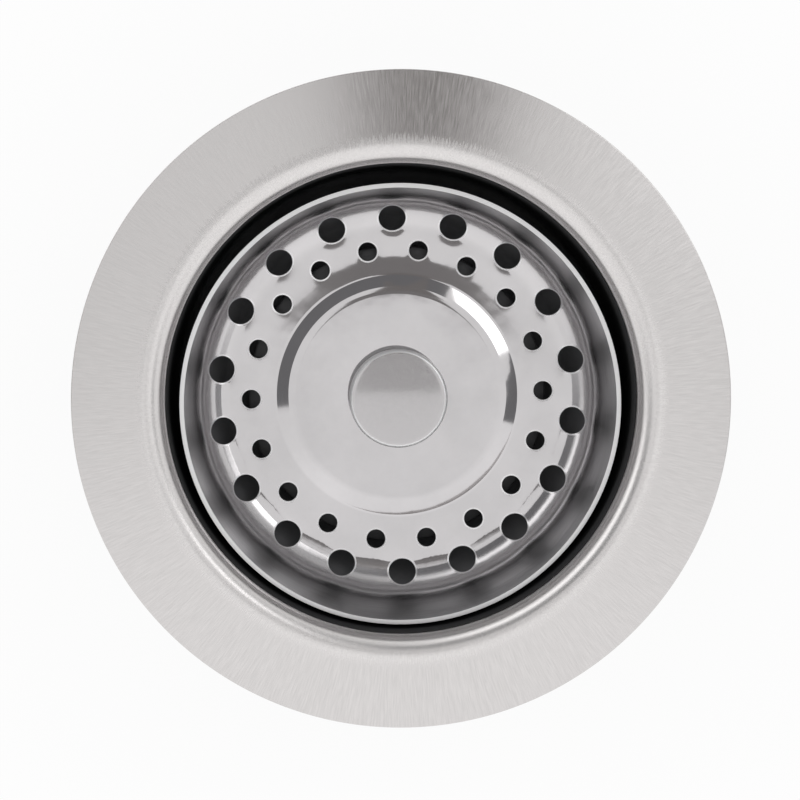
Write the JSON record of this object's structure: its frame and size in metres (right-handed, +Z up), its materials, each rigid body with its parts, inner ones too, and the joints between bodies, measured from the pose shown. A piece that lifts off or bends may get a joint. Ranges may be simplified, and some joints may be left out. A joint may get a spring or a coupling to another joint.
{
  "type": "sink basket strainer",
  "caption": "Kitchen sink strainer: a steel flange on a moulded drain body, with a lift-out perforated basket and stopper, a lock nut and an outlet coupling.",
  "frame": {"origin": "on the drain's axis, in the plane of the sink deck that the flange seal presses on", "axes": "+Z up along the drain's axis, out of the sink; +Y towards the top of the picture; +X towards its right"},
  "size_m": [0.1142, 0.1142, 0.0661],
  "materials": {
    "flange_steel": "brushed",
    "basket_steel": "polished",
    "stem_steel": "satin",
    "body_plastic": "moulded",
    "nut_plastic": "moulded",
    "tail_plastic": "translucent moulded",
    "black_rubber": "matte",
    "fibre": "pressed fibre"
  },
  "bodies": {
    "drain": {"flange_cover": "flange_steel", "flange_seal": "black_rubber", "strainer_body": "body_plastic"},
    "clamp_rings": {"sink_gasket": "black_rubber", "friction_washer": "fibre"},
    "lock_nut": {"lock_nut": "nut_plastic"},
    "tail_washer": {"tail_washer": "tail_plastic"},
    "coupling_nut": {"coupling_nut": "nut_plastic"},
    "basket": {"basket_cup": "basket_steel", "knob": "basket_steel", "stem": "stem_steel", "stopper_backing": "basket_steel", "stopper": "black_rubber", "stopper_retainer": "basket_steel", "peg": "stem_steel"}
  },
  "joints": [
    {"name": "basket_lift", "type": "slide", "parent": "drain", "child": "basket", "axis": [0, 0, 1], "range_m": [0, 0.06]},
    {"name": "clamp_travel", "type": "slide", "parent": "drain", "child": "clamp_rings", "axis": [0, 0, 1], "range_m": [-0.0121, 0.0071]},
    {"name": "lock_nut_turn", "type": "hinge", "parent": "clamp_rings", "child": "lock_nut", "pos_m": [0, 0, -0.0192], "axis": [0, 0, 1], "range_deg": [-1440, 840]},
    {"name": "tail_washer_travel", "type": "slide", "parent": "drain", "child": "tail_washer", "axis": [0, 0, 1], "range_m": [-0.01, 0]},
    {"name": "coupling_nut_turn", "type": "hinge", "parent": "tail_washer", "child": "coupling_nut", "pos_m": [0, 0, -0.055], "axis": [0, 0, 1], "range_deg": [-1620, 0]}
  ],
  "couplings": [
    {"joint": "clamp_travel", "follows": "lock_nut_turn", "m_per_rad": 0.00047746},
    {"joint": "tail_washer_travel", "follows": "coupling_nut_turn", "m_per_rad": 0.00035014}
  ]
}
